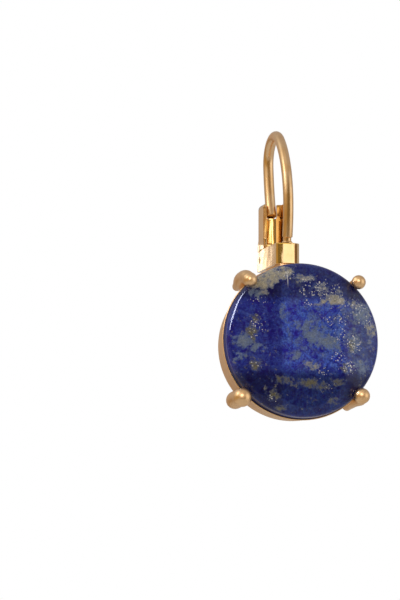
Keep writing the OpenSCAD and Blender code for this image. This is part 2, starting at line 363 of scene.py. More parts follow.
def from_bmesh(name, bm):
    """A closed solid from a bmesh, with its doubles merged and its faces turned outwards"""
    bmesh.ops.remove_doubles(bm, verts=bm.verts, dist=DOUBLES)
    bmesh.ops.recalc_face_normals(bm, faces=bm.faces)
    mesh = bpy.data.meshes.new(name)
    bm.to_mesh(mesh)
    bm.free()
    return new_object(name, mesh)


def prism(name, outline, low, high, along="X"):
    """A flat outline, drawn in the two other axes, that runs from low to high along an axis"""
    spread = {"X": lambda a, b, c: (c, a, b), "Y": lambda a, b, c: (a, c, b), "Z": lambda a, b, c: (a, b, c)}[along]
    bm = bmesh.new()
    face = bm.faces.new([bm.verts.new(spread(a, b, low)) for a, b in outline])
    grown = bmesh.ops.extrude_face_region(bm, geom=[face])
    moved = [v for v in grown["geom"] if isinstance(v, bmesh.types.BMVert)]
    bmesh.ops.translate(bm, verts=moved, vec=Vector(spread(0, 0, high - low)))
    return from_bmesh(name, bm)


def turned(name, profile, spokes=SPOKES):
    """A solid turned about Z from a profile of (radius, height)"""
    bm = bmesh.new()
    verts = [bm.verts.new((r, 0, z)) for r, z in profile]
    edges = [bm.edges.new(pair) for pair in zip(verts, verts[1:])]
    bmesh.ops.spin(bm, geom=verts + edges, cent=(0, 0, 0), axis=(0, 0, 1), angle=2 * pi, steps=spokes,
                   use_merge=True)
    return from_bmesh(name, bm)


def disc(centre, radius, steps=SPOKES):
    """A round outline"""
    turns = [2 * pi * i / steps for i in range(steps)]
    return [(centre[0] + radius * cos(t), centre[1] + radius * sin(t)) for t in turns]


def slab(name, x, y, z):
    """A block: each of x, y and z is (low, high)"""
    return prism(name, [(y[0], z[0]), (y[1], z[0]), (y[1], z[1]), (y[0], z[1])], *x)


def rounded(corners):
    """An outline whose corners, each (across, up, radius), are rounded by arcs"""
    outline = []
    for i, (x, y, radius) in enumerate(corners):
        here = Vector((x, y))
        before = (Vector(corners[i - 1][:2]) - here).normalized()
        after = (Vector(corners[(i + 1) % len(corners)][:2]) - here).normalized()
        half = before.angle(after) / 2
        if radius == 0 or half > NEARLY_STRAIGHT:
            outline.append((x, y))
            continue
        centre = here + (before + after).normalized() * (radius / sin(half))
        reach = radius / tan(half)
        start, end = here + before * reach - centre, here + after * reach - centre
        sweep = start.angle(end)
        turn = copysign(1, start.x * end.y - start.y * end.x)
        count = max(2, ceil(sweep / CORNER_STEP))
        first = atan2(start.y, start.x)
        for k in range(count + 1):
            a = first + turn * sweep * k / count
            outline.append((centre.x + radius * cos(a), centre.y + radius * sin(a)))
    return outline


def band(half, low, high, low_round, high_round=0):
    """An outline of even width about the middle, with its lower and upper corners rounded"""
    return rounded([(-half, low, low_round), (half, low, low_round), (half, high, high_round),
                    (-half, high, high_round)])


def on_pin(name, radius, half, steps=SPOKES):
    """A rod on the hinge pin's axis"""
    return prism(name, disc((PIN_BACK, PIN_UP), radius, steps), -half, half)


def worked(base, operation, *others):
    """Adds other solids to a solid, or cuts them from it"""
    for other in others:
        step = base.modifiers.new(operation, "BOOLEAN")
        step.operation = operation
        step.object = other
        step.solver = "EXACT"
    settled(base)
    for other in others:
        bpy.data.objects.remove(other)


def softened(obj, width, segments=EDGE_STEPS):
    """A solid with its sharp edges rounded"""
    bevel = obj.modifiers.new("soft_edges", "BEVEL")
    bevel.width = width
    bevel.segments = segments
    bevel.limit_method = "ANGLE"
    bevel.angle_limit = EDGE_FROM
    return settled(obj)


def scored(obj, heights):
    """A solid with lines cut round it at the given heights, between which its faces keep their own shading"""
    bm = bmesh.new()
    bm.from_mesh(obj.data)
    for height in heights:
        bmesh.ops.bisect_plane(bm, geom=bm.verts[:] + bm.edges[:] + bm.faces[:], plane_co=(0, 0, height),
                               plane_no=(0, 0, 1))
    bm.to_mesh(obj.data)
    bm.free()
    return obj


def finished(obj, name, node, body, material, flat_from=None):
    """Names a piece, shades it, brings it into the frame, hangs it on its body and hides the node that it stands for

    Faces of at least flat_from square millimetres are shaded flat, so that a soft edge doesn't bend their shine.
    """
    obj.name = obj.data.name = name
    obj.data.shade_smooth()
    obj.data.set_sharp_from_angle(angle=SHARP)
    for face in obj.data.polygons:
        face.use_smooth = flat_from is None or face.area < flat_from
    obj.data.transform(TO_FRAME)
    obj.data.materials.clear()
    obj.data.materials.append(material)
    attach(obj, body)
    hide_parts(node)
    if name in LIT_GROUPS:
        lit_group(LIT_GROUPS[name]).objects.link(obj)


def path(name, points):
    """A curve with straight stretches between points"""
    curve = bpy.data.curves.new(name, "CURVE")
    curve.dimensions = "3D"
    spline = curve.splines.new("POLY")
    spline.points.add(len(points) - 1)
    for spot, point in zip(spline.points, points):
        spot.co = (*point, 1)
    return curve


def grown(name, tree, values, seed=None):
    """Runs a geometry tree and returns its result as a plain mesh object: "Edge Round" takes the edge_round value"""
    maker = new_object(name + "_maker", seed or bpy.data.meshes.new(name + "_seed"))
    run = maker.modifiers.new("maker", "NODES")
    run.node_group = tree
    for socket in tree.interface.items_tree:
        key = socket.name.lower().replace(" ", "_")
        if socket.in_out == "INPUT" and key in values:
            run[socket.identifier] = values[key]
    mesh = result_of(maker)
    bpy.data.objects.remove(maker)
    return new_object(name, mesh)


def on_face(stone):
    """From the stone's own axes, with Z out of its face and 0 at the cup's lip, to the drawing"""
    tilt = Matrix.Rotation(pi / 2 - stone.face_tilt, 4, "X")
    return (Matrix.Translation((0, -stone.ahead, 0)) @ tilt
            @ Matrix.Translation((0, 0, -stone.side / 2 - PIECE_GAP)))


def stone_middle(stone):
    """The middle of the stone's girdle, in the frame"""
    return TO_FRAME @ Vector((0, -stone.ahead, 0))


# Rings of the stone's mesh from the middle of its face round to the middle of its back, by stretch
STONE_RINGS = {"face": 82, "edge": 16, "side": 5, "seat": 3, "back": 5, "floor": 6}
STONE_SPOKES = 300
EDGE_END = radians(66)
SEAT_IN = 0.35
SEAT_FALL = 0.42
BACK_IN = 1.95
STONE_MERGE = 0.001
PRONG_STEPS = 180
PRONG_SPOKES = 28
PRONG_MERGE = 0.0005
SWELL_FROM = 0.2
NECK_RUN = 0.6
WIRE_SPOKES = 32
# Noises of the gold: (detail, roughness), and for the blotches first their scale to a millimetre
GRAIN_NOISE, WAVE_NOISE, BLOTCH_NOISE = (3.0, 0.6), (1.0, 0.4), (0.7, 3.0, 0.55)
BLOTCHES = (0.4, 0.68)
ROUGHNESS_SWING = 0.35
# Where a patch's mask begins and is full, as shares of its half width and height
PATCH_EDGE = (1.35, 0.15)


def stone_tree():
    """Geometry nodes that turn a grid into the round stone and press the facets into its face"""
    g, (full, side, edge, rise, half, across, up, slope, facet_turn, soft, sunk, material) = new_maker(
        "faceted_stone", {"Radius": 7.5, "Side": 0.95, "Edge Round": 0.8, "Table Rise": 2.5, "Table Half": 3.2,
                          "Table Across": 0.55, "Table Up": -0.35, "Slope": 0.2, "Facet Turn": 0.05,
                          "Facet Soft": 0.16, "Sunk": 2.4})
    stops, total = {}, 0.0
    for stretch, count in STONE_RINGS.items():
        stops[stretch] = (total, total + count)
        total += count
    grid = g.add("GeometryNodeMeshGrid", {"Size X": 1.0, "Size Y": 1.0, "Vertices X": STONE_SPOKES + 1,
                                          "Vertices Y": int(total) + 1})
    place = g.add("ShaderNodeSeparateXYZ", {"Vector": g.add("GeometryNodeInputPosition")[0]})
    turn = g.span(place["X"], -0.5, 0.5, 0.0, 2 * pi)
    ring = g.span(place["Y"], -0.5, 0.5, 0.0, total)

    def reach(stretch, far):
        return g.span(ring, *stops[stretch], 0.0, far)

    core = full - edge
    edge_in = edge * cos(EDGE_END) + core
    lean = g.span(ring, *stops["edge"], EDGE_END, 0.0)
    face = reach("face", edge_in)
    back = reach("seat", SEAT_IN) + reach("back", BACK_IN - SEAT_IN) + reach("floor", full - BACK_IN)
    radius = face + (edge * g.math("COSINE", lean) + core - edge_in) - back
    cone = (edge_in - face) * tan(pi / 2 - EDGE_END)
    drop = reach("side", side) + reach("seat", SEAT_FALL) + reach("back", sunk - (SEAT_FALL - PIECE_GAP))
    body = cone + (g.math("SINE", lean) * edge + (side + PIECE_GAP)) - drop

    def past_table(lean_in, shift):
        past = g.math("ABSOLUTE", radius * g.math("COSINE", turn + lean_in) - shift) - half
        return (past + g.math("SQRT", past * past + soft * soft)) * 0.5

    turned_back = facet_turn * -1.0
    fall = past_table(turned_back, across) + past_table(turned_back - pi / 2, up)
    height = g.math("SMOOTH_MIN", body, rise - fall * slope, soft)
    spot = g.add("ShaderNodeCombineXYZ", {"X": radius * g.math("COSINE", turn), "Y": radius * g.math("SINE", turn),
                                          "Z": height})
    shaped = g.add("GeometryNodeSetPosition", {"Geometry": grid["Mesh"], "Position": spot[0]})
    closed = g.add("GeometryNodeMergeByDistance", {"Geometry": shaped[0], "Distance": STONE_MERGE})
    outward = g.add("GeometryNodeFlipFaces", {"Mesh": closed[0]})
    return g.dressed(outward[0], material)


def prong_tree():
    """Geometry nodes that sweep a prong along its path: a foot, an arm that swells and thins, and a ball"""
    g, (course, foot, arm, elbow, neck, ball, thick_at, elbow_at, angle_round, material) = new_maker(
        "ball_prong", {"Path": "Geometry", "Foot Radius": 0.45, "Arm Radius": 0.6, "Elbow Radius": 0.5,
                       "Neck Radius": 0.45, "Ball Radius": 0.7, "Thick At": 3.3, "Elbow At": 5.4, "Angle": 0.0})
    smooth = g.add("GeometryNodeCurveSplineType", {"Curve": course}, spline_type="CATMULL_ROM")
    even = g.add("GeometryNodeResampleCurve", {"Curve": smooth[0], "Count": PRONG_STEPS})
    run = g.add("GeometryNodeSplineParameter")["Length"]
    left = g.add("GeometryNodeSplineLength")["Length"] - run

    def change(first, last, start, end):
        return g.span(run, start, end, kind="SMOOTHSTEP") * (last - first)

    thick = foot + change(foot, arm, SWELL_FROM, thick_at) + change(arm, elbow, thick_at, elbow_at)
    thick = thick + change(elbow, neck, elbow_at, elbow_at + NECK_RUN)
    past_foot = g.math("GREATER_THAN", run, foot)
    thick = g.math("MINIMUM", thick, g.arc(foot, run - foot) + past_foot)
    before_ball = g.math("GREATER_THAN", left, ball)
    head = g.arc(ball, left - ball)
    thick = g.math("SMOOTH_MAX", head, thick * before_ball, NECK_BLEND)
    thick = g.math("MINIMUM", thick, head + before_ball)
    closed = g.add("GeometryNodeMergeByDistance", {"Geometry": g.swept(even[0], thick, PRONG_SPOKES),
                                                   "Distance": PRONG_MERGE})
    spin = g.add("ShaderNodeCombineXYZ", {"Z": angle_round})
    spun = g.add("GeometryNodeTransform", {"Geometry": closed[0], "Rotation": spin[0]})
    return g.dressed(spun[0], material)


def wire_tree():
    """Geometry nodes that sweep the ear wire along its route and round its cut ends"""
    g, (route, thickness, end_round, material) = new_maker(
        "bent_wire", {"Route": "Geometry", "Thickness": 1.0, "End Round": 0.16})
    run = g.add("GeometryNodeSplineParameter")["Length"]
    near = g.math("MINIMUM", run, g.add("GeometryNodeSplineLength")["Length"] - run)
    off = end_round - g.math("MINIMUM", near, end_round)
    thick = thickness * 0.5 - end_round + g.arc(end_round, off)
    return g.dressed(g.swept(route, thick, WIRE_SPOKES), material)


def gold_group():
    """Colour, roughness and height of worked gold: fine grain, faint blotches and soft waves, drawn out upright"""
    g, (shine, shade, roughness, grain_size, grain, wave_size, wave, stretch) = new_group(
        "worked_gold", "ShaderNodeTree",
        {"Colour": (0.8, 0.6, 0.3, 1.0), "Shade": (0.6, 0.4, 0.2, 1.0), "Roughness": 0.3, "Grain Size": 0.08,
         "Grain": 1.0, "Wave Size": 1.5, "Wave": 1.0, "Wave Stretch": (1.0, 1.0, 1.0)},
        {"Colour": "Color", "Roughness": "Float", "Height": "Float"})
    place = g.add("ShaderNodeTexCoord")["Object"] * (1 / MM)
    fine = g.noise(place, g.math("DIVIDE", 1.0, grain_size), *GRAIN_NOISE)
    waves = g.noise(place * stretch, g.math("DIVIDE", 1.0, wave_size), *WAVE_NOISE)
    g.add("NodeGroupOutput", {
        "Colour": g.mix(g.span(g.noise(place, *BLOTCH_NOISE), *BLOTCHES), shine, shade),
        "Roughness": roughness * ((fine - 0.5) * ROUGHNESS_SWING + 1.0),
        "Height": fine * grain + waves * wave})
    return g.tree


def patch_group():
    """Mask of one soft oval patch on the stone's face"""
    g, (place, across, up, width, height, strength) = new_group(
        "soft_patch", "ShaderNodeTree",
        {"Place": "Vector", "Across": 0.0, "Up": 0.0, "Width": 1.0, "Height": 1.0, "Strength": 1.0},
        {"Mask": "Float"})
    part = g.add("ShaderNodeSeparateXYZ", {"Vector": place})
    x, z = (part["X"] - across) / width, (part["Z"] - up) / height
    far = g.math("SQRT", x * x + z * z)
    g.add("NodeGroupOutput", {"Mask": g.span(far, *PATCH_EDGE, kind="SMOOTHSTEP") * strength})
    return g.tree


# Soft ovals on the stone's face, in millimetres from its middle: across, up, half width, half height, strength.
# Patches by colour: (their cover, the steel blue round them, how softly they begin, their ovals)
PATCHES = {
    "slate": (0.8, 0.7, 1.5, [
        (0.0, 1.2, 1.2, 0.7, 0.85), (0.8, 0.4, 1.3, 0.8, 1.0), (2.1, -0.2, 1.3, 0.8, 1.15),
        (2.9, -0.7, 0.8, 0.5, 0.9), (-1.0, -1.7, 0.9, 0.5, 0.7), (-2.2, 2.6, 0.6, 0.8, 0.6),
        (-6.0, -0.2, 1.1, 0.7, 1.05), (-4.9, -0.8, 1.1, 0.6, 0.95), (-6.3, -1.7, 0.6, 0.6, 0.7),
        (5.8, 2.6, 1.0, 1.2, 1.0), (5.6, -2.6, 0.9, 0.9, 0.85), (5.0, -0.2, 0.9, 1.3, 0.75),
        (-4.6, 4.4, 0.8, 0.5, 0.8)
    ]),
    "calcite": (1.0, 0.6, 1.15, [
        (-4.2, 5.6, 1.3, 1.0, 1.25), (-3.0, 6.3, 1.4, 0.9, 1.25), (-1.6, 6.5, 1.1, 0.6, 1.0),
        (-3.9, 4.7, 0.5, 0.7, 0.7), (0.2, 6.0, 1.3, 0.5, 0.75), (1.7, 5.0, 1.2, 0.6, 0.8),
        (3.0, 3.9, 1.3, 0.9, 1.25), (1.8, 3.5, 0.9, 0.4, 0.9), (5.0, 3.4, 0.9, 0.9, 0.6), (6.6, 0.9, 0.5, 1.6, 0.7),
        (0.5, -2.6, 1.1, 0.35, 0.85)
    ]),
    "olive": (0.85, 0.3, 1.1, [
        (-2.0, -4.0, 1.9, 0.4, 0.75), (0.6, -4.3, 1.8, 0.55, 1.1), (3.1, -4.0, 0.9, 0.5, 0.8),
        (-3.1, -5.4, 0.9, 0.55, 1.0), (-2.2, -6.6, 0.8, 0.5, 0.65), (3.0, -5.9, 1.0, 0.5, 0.45),
        (-5.1, 0.6, 0.7, 0.9, 1.15), (-5.0, 2.0, 0.5, 0.6, 0.85), (-4.9, -2.5, 0.65, 0.8, 1.1),
        (4.6, -0.6, 0.5, 0.7, 1.0), (3.9, -2.7, 0.7, 0.5, 1.0), (2.9, 4.1, 0.9, 0.6, 0.5),
        (0.4, -5.9, 2.0, 0.6, 0.2)
    ])
}
PYRITE_CLUSTERS = [
    (1.9, 4.8, 1.9, 1.1, 0.9), (3.9, 3.9, 0.9, 0.9, 0.6), (0.2, 4.2, 0.9, 1.0, 0.6), (3.0, 2.0, 1.3, 0.9, 0.6),
    (3.6, 0.6, 1.0, 1.2, 0.5), (4.9, -0.4, 0.9, 1.1, 1.0), (6.0, 1.7, 0.7, 0.6, 1.0), (5.3, 3.0, 1.0, 1.2, 0.5),
    (4.1, -2.5, 0.9, 0.8, 1.05), (3.2, -1.6, 0.7, 0.5, 0.9), (1.6, -3.3, 0.8, 0.4, 0.7),
    (-1.5, 6.3, 0.8, 0.5, 1.05), (0.4, 5.9, 0.8, 0.4, 0.8), (-4.7, 1.3, 0.8, 1.1, 0.65), (-5.0, 0.5, 0.5, 0.5, 0.9),
    (-4.5, 3.7, 0.8, 0.3, 0.95), (-4.9, -2.6, 0.5, 0.6, 0.5), (2.6, -4.4, 0.8, 0.4, 0.5),
    (-3.2, -5.5, 0.6, 0.5, 0.6)
]
VEILS = [
    (0.6, 0.8, 3.0, 3.8, 0.85), (-1.5, 1.6, 0.9, 2.6, 1.0), (4.6, 1.4, 2.4, 4.2, 1.0), (-5.3, -0.6, 1.3, 2.6, 0.6),
    (-0.4, 5.6, 4.4, 1.6, 0.8), (0.5, -4.6, 5.0, 1.2, 0.4)
]
# Painted shade on the facets round the table, darkest on the lower facet that faces down: (axis, where it begins,
# where it is full, tint), in millimetres from its middle
FACET_SHADES = [
    ("X", -1.9, -2.6, (0.5, 0.45, 0.6)),
    ("Z", -2.3, -3.9, (0.24, 0.28, 0.34)),
    ("Z", 3.4, 4.4, (0.4, 0.34, 0.38)),
    ("X", 3.2, 5.0, (0.66, 0.6, 0.56))
]
# Painted highlight: a pale streak in the pyrite colour where two upper facets meet, standing in for a glint on their
# edge: across, up, half width, half height, strength
PAINTED_EDGE_GLINT = (-1.55, 5.9, 0.07, 0.8, 0.6)
# Pyrite specks: (millimetres from one to the next, radius for that, share of them that shows in a cluster's middle)
SPECKS = [
    (0.13, 0.44, 0.42), (0.2, 0.38, 0.42), (0.32, 0.3, 0.34)
]
# Noises in the stone: (scale to a millimetre, detail, roughness, shift that keeps it apart from the others)
NOISES = {
    "coarse": (0.8, 2.0, 0.55),
    "fine": (2.6, 3.0, 0.65),
    "cloud": (0.8, 5.0, 0.6),
    "grit": (3.2, 4.0, 0.64),
    "hue": (0.55, 4.0, 0.6, (9.1, 4.4, 2.7)),
    "vein": (0.9, 6.0, 0.62, (1.7, 8.2, 6.3)),
    "mottle": (3.4, 4.0, 0.62, (3.1, 5.7, 1.9)),
    "wisps": (1.25, 5.0, 0.62, (7.3, 2.1, 4.4)),
    "ragged": (1.9, 5.0, 0.66),
    "grain": (6.5, 2.0, 0.6),
    "jitter": (9.0, 2.0, 0.6),
    "wear": (6.0, 3.0, 0.5),
    "swell": (0.9, 2.0, 0.5)
}
# Where a field begins to show and where it is full
SHOWN = {
    "hue": (0.42, 0.58), "cloud": (0.45, 0.58), "vein": (0.06, 0.0), "mottle": (0.4, 0.62), "wisps": (0.45, 0.58),
    "patch": (0.0, 0.3), "picked": (1.0, 1.05)
}
# How a field is strengthened: (times, plus)
TUNED = {
    "vein": (1.6, -0.3), "veil": (0.9, 0.12), "mottled_veil": (0.6, 0.4), "ragged": (2.5, -1.25),
    "mottled_rag": (0.5, -0.32), "grain": (1.5, 0.25), "wear": (0.05, 0.035)
}
# How far the noises push the pattern about, in millimetres
COARSE_WARP, FINE_WARP, FACET_SHADE_RUFFLE, SPECK_JITTER = 1.3, 0.7, 0.5, 0.16
CLOUD_SHARE = 0.55
VEIN_COVER = 0.75
# Where the steel blue round a patch begins and is full, and where the patch begins
HALO = (0.05, 0.55)
COVER_FROM = 0.3
SPECK_CORE = 0.55
SPECK_METAL = 0.25
# How much the stone's worn polish mirrors, where 0.5 is a perfect polish
POLISH = 0.32
# Where the stone's unpolished girdle begins and is full, back from its middle, so both are in front of it
GIRDLE = (-0.5, -0.3)
# Painted shade on the girdle: a tint that darkens its colour, besides its rougher finish
GIRDLE_SHADE = (0.5, 0.3, 0.45)
SAWN_ROUGHNESS = 0.9
# Soft waves of the polish: (strength, depth)
SWELL = (0.25, 0.02)
# The inputs of soft_patch that an oval's row gives
OVAL = ("Across", "Up", "Width", "Height", "Strength")
LAPIS_IOR = 1.52


def lapis_material(stone):
    """Lapis lazuli: mottled blues, grey and olive patches and specks of pyrite under a polish, with painted shade on
    the facets round the table and on the girdle, and a painted highlight on one facet edge
    """
    material, g, shader = new_material("polished_lapis")
    place = g.add("ShaderNodeMapping", {"Vector": g.add("ShaderNodeTexCoord")["Object"],
                                        "Location": -stone_middle(stone) / MM, "Scale": (1 / MM,) * 3})[0]
    patch = patch_group()

    def noise(name, at, output="Fac"):
        scale, detail, roughness, *shifts = NOISES[name]
        for shift in shifts:
            at = at + shift
        return g.noise(at, scale, detail, roughness, output)

    def ruffled(at, by, far):
        return (by - 0.5) * far + at

    def shown(name, field):
        return g.span(field, *SHOWN[name])

    def tuned(name, field):
        times, plus = TUNED[name]
        return field * times + plus

    def masked(ovals, at):
        masks = [g.add("ShaderNodeGroup", {"Place": at, **dict(zip(OVAL, oval))}, node_tree=patch)["Mask"]
                 for oval in ovals]
        return reduce(lambda one, other: g.math("MAXIMUM", one, other), masks)

    fine = noise("fine", place, "Color")
    warped = ruffled(ruffled(place, noise("coarse", place, "Color"), COARSE_WARP), fine, FINE_WARP)
    part = g.add("ShaderNodeSeparateXYZ", {"Vector": ruffled(place, fine, FACET_SHADE_RUFFLE)})
    grit = noise("grit", place)
    tint = g.mix(shown("hue", noise("hue", warped)), stone.violet, stone.deep_blue)
    cloud = noise("cloud", warped) * CLOUD_SHARE + grit * (1 - CLOUD_SHARE)
    tint = g.mix(shown("cloud", cloud), tint, stone.clear_blue)
    off_vein = g.math("ABSOLUTE", noise("vein", warped) - 0.5)
    tint = g.mix(shown("vein", off_vein) * tuned("vein", grit) * VEIN_COVER, tint, stone.bright_blue)
    mottle = shown("mottle", noise("mottle", place))
    veil = tuned("veil", masked(VEILS, warped)) * tuned("mottled_veil", mottle)
    tint = g.mix(shown("wisps", noise("wisps", warped)) * veil, tint, stone.steel)
    # Painted shade: the facets round the table are darkened, the lower one that faces down most of all
    for axis, outer, inner, rgb in FACET_SHADES:
        tint = g.mix(g.span(part[axis], outer, inner, kind="SMOOTHSTEP"), tint, rgb, "MULTIPLY")
    ragged = tuned("ragged", noise("ragged", place)) + tuned("mottled_rag", mottle)
    for name, (cover, halo, soft, ovals) in PATCHES.items():
        patches = masked(ovals, warped)
        field = ragged + patches
        edge = g.span(field, *HALO, 0.0, halo) * shown("patch", patches)
        tint = g.mix(edge, tint, stone.steel)
        tint = g.mix(g.span(field, COVER_FROM, soft, 0.0, cover), tint, getattr(stone, name))
    # A painted highlight along an upper facet edge, then the stone's fine grain
    tint = g.mix(masked([PAINTED_EDGE_GLINT], place), tint, stone.pyrite) * tuned("grain", noise("grain", place))
    near = masked(PYRITE_CLUSTERS, warped)
    jittered = ruffled(place, noise("jitter", place, "Color"), SPECK_JITTER)
    for size, radius, share in SPECKS:
        dots = g.add("ShaderNodeTexVoronoi", {"Vector": jittered, "Scale": 1 / size})
        picked = g.add("ShaderNodeSeparateColor", {"Color": dots["Color"]})["Red"] + near * share
        speck = g.span(dots["Distance"], radius, radius * SPECK_CORE) * shown("picked", picked)
        tint = g.mix(speck, tint, stone.pyrite)
    # The girdle is rougher, and its colour is darkened by painted shade
    rough_and_shaded_girdle = g.span(g.add("ShaderNodeSeparateXYZ", {"Vector": place})["Y"], *GIRDLE)
    g.feed(shader, {
        "Base Color": g.mix(rough_and_shaded_girdle, tint, GIRDLE_SHADE, "MULTIPLY"),
        "Metallic": speck * SPECK_METAL,
        "Roughness": tuned("wear", noise("wear", place)) + rough_and_shaded_girdle * SAWN_ROUGHNESS,
        "Normal": g.bump(noise("swell", place), *SWELL),
        "IOR": LAPIS_IOR,
        "Specular IOR Level": POLISH})
    return material


# Gold platings: (how their blotches fade in colour, grain size, grain, wave size, waves, stretch of the waves)
GOLDS = {
    "satin": ((0.93, 0.86, 0.74), 0.09, 0.45, 1.6, 2.0, (1.0, 1.0, 1.0)),
    "matte": ((0.95, 0.9, 0.82), 0.12, 0.5, 1.2, 1.5, (1.0, 1.0, 1.0)),
    "bright": ((0.95, 0.88, 0.78), 0.2, 0.1, 0.8, 2.5, (1.0, 0.4, 0.3))
}
GOLD_DEPTH = 0.01


def gold(finish, kind):
    """One of the gold platings, with the shared worked_gold group"""
    name = kind + "_plating"
    if name in bpy.data.materials:
        return bpy.data.materials[name]
    material, g, shader = new_material(name)
    fade, *worked_as = GOLDS[kind]
    shine = finish.bright if kind == "bright" else finish.satin
    made = g.add("ShaderNodeGroup", {
        "Colour": shine, "Shade": tuple(c * f for c, f in zip(shine, fade)),
        "Roughness": getattr(finish, kind + "_roughness"),
        **dict(zip(("Grain Size", "Grain", "Wave Size", "Wave", "Wave Stretch"), worked_as))},
        node_tree=bpy.data.node_groups.get("worked_gold") or gold_group())
    g.feed(shader, {"Base Color": made["Colour"], "Roughness": made["Roughness"],
                    "Normal": g.bump(made["Height"], 1.0, GOLD_DEPTH), "Metallic": 1.0})
    return material


class EARRING_OT_stone(bpy.types.Operator):
    """Make the faceted lapis stone"""

    bl_idname = "earring.stone"
    bl_label = "Stone"

    def execute(self, context):
        stone = in_mm(context.scene).stone
        made = grown("stone", stone_tree(), {**vars(stone), "radius": stone.diameter / 2,
                                             "slope": tan(stone.facet_slope)})
        made.data.transform(on_face(stone))
        finished(made, "lapis_stone", "stone", "earring", lapis_material(stone))
        return {"FINISHED"}


# Prongs: (direction round the stone in degrees from the right, diameters of ball, arm and neck, how much further out
# the ball sits and how far the arm stands aside, in millimetres)
PRONGS = [
    (46, 1.37, 1.05, 0.86, -0.05, 0.0), (133.2, 1.38, 1.5, 1.34, -0.22, -0.36), (223.3, 1.85, 1.75, 1.3, 0.4, -0.1),
    (316, 1.55, 1.05, 0.86, -0.18, 0.0)
]
FOOT_Z = -4.2
ARM_IN = 7.345
ARM_Z = -1.4
ELBOW_OFF = 0.13
ELBOW_Z = 0.75
SLIM_ARM = 1.05
SLIM_ELBOW = 0.98
ELBOW_PER_ARM = 0.49
SMALL_BALL = 1.35
# How far a ball's centre moves out and forwards for each millimetre by which it is thicker
BALL_SHIFT = (0.55, 0.3)
ASIDE_SHARES = (1, 1, 0.6, 0, 0)
NECK_BLEND = 0.2


def prong(tree, setting, stone, angle_round, ball, arm, neck, further, aside):
    """One prong, from its foot on the cup's wall to its ball on the stone's edge"""
    elbow = SLIM_ELBOW + ELBOW_PER_ARM * (arm - SLIM_ARM)
    foot = Vector((setting.foot_reach, FOOT_Z))
    thick = Vector((ARM_IN + arm / 2, ARM_Z))
    bend = Vector((stone.diameter / 2 + ELBOW_OFF + elbow / 2, ELBOW_Z))
    head = Vector((setting.ball_reach, setting.ball_rise)) + (ball - SMALL_BALL) * Vector(BALL_SHIFT)
    head.x += further
    start = foot - (thick - foot).normalized() * setting.foot / 2
    tip = head + (head - bend).normalized() * ball / 2
    points = [(p.x, aside * share, p.y) for p, share in zip((start, thick, bend, head, tip), ASIDE_SHARES)]
    thick_at = (thick - start).length
    values = {"foot_radius": setting.foot / 2, "arm_radius": arm / 2, "elbow_radius": elbow / 2,
              "neck_radius": neck / 2, "ball_radius": ball / 2, "thick_at": thick_at,
              "elbow_at": thick_at + (bend - thick).length, "angle": radians(angle_round)}
    return grown("prong", tree, values, path("prong_path", points))


LIP_BEAD = 0.07
LIP_TURN = range(-60, 181, 15)
CLOSED = 0.01
BACK_EDGE = 0.45
CUP_SPOKES = 144


def cup(setting, stone):
    """The closed, tapered cup with a fine bead round its lip"""
    lip, back = setting.lip_diameter / 2, setting.back_diameter / 2
    stone_r = stone.diameter / 2
    bead = [(lip + LIP_BEAD * (cos(t) - 1), LIP_BEAD * (sin(t) - 1)) for t in map(radians, LIP_TURN)]
    back_arc = [(back - BACK_EDGE * (1 - sin(t)), -setting.depth + BACK_EDGE * (1 - cos(t)))
                for t in map(radians, QUARTER)]
    inner = [(stone_r - CLOSED, -LIP_BEAD), (stone_r - SEAT_IN + PIECE_GAP, -SEAT_FALL),
             (back - setting.wall, -setting.depth + setting.floor), (0, -setting.depth + setting.floor)]
    return turned("cup", [(0, -setting.depth)] + back_arc + bead + inner, CUP_SPOKES)


# Side outline of the neck that joins cup and knuckle: (back, up, corner radius)
NECK_OUTLINE = [
    (-1.3, 6.78, 0.0), (0.0, 6.78, 0.0), (0.0, 6.0, 0.0), (1.25, 6.0, 0.25), (1.25, 7.91, 1.25), (2.9, 7.91, 0.0),
    (2.9, 8.15, 0.0), (0.05, 8.15, 0.0), (0.05, 6.95, 1.08), (-1.3, 6.95, 0.0)
]
NECK_WIDTH = 1.7
NECK_SOFT = 0.12
STRIP = ((-0.75, 0.75), (0.3, 6.2), (7.91, 8.15))
TENON_BACK = 0.62
# How far the middle of the knuckle's front stands out, and where across its half width the bow is drawn
FRONT_BOW = 0.14
BOW_PARTS, BOW_STEPS = 12, range(-8, 7)
SOCKET_DEEP = 1.3
SCORE_IN = 0.12
# Facets at the knuckle's right front corner: (in from its side, behind its front)
CORNER_FACETS = [(0.286, 0.28), (0, 0.645)]


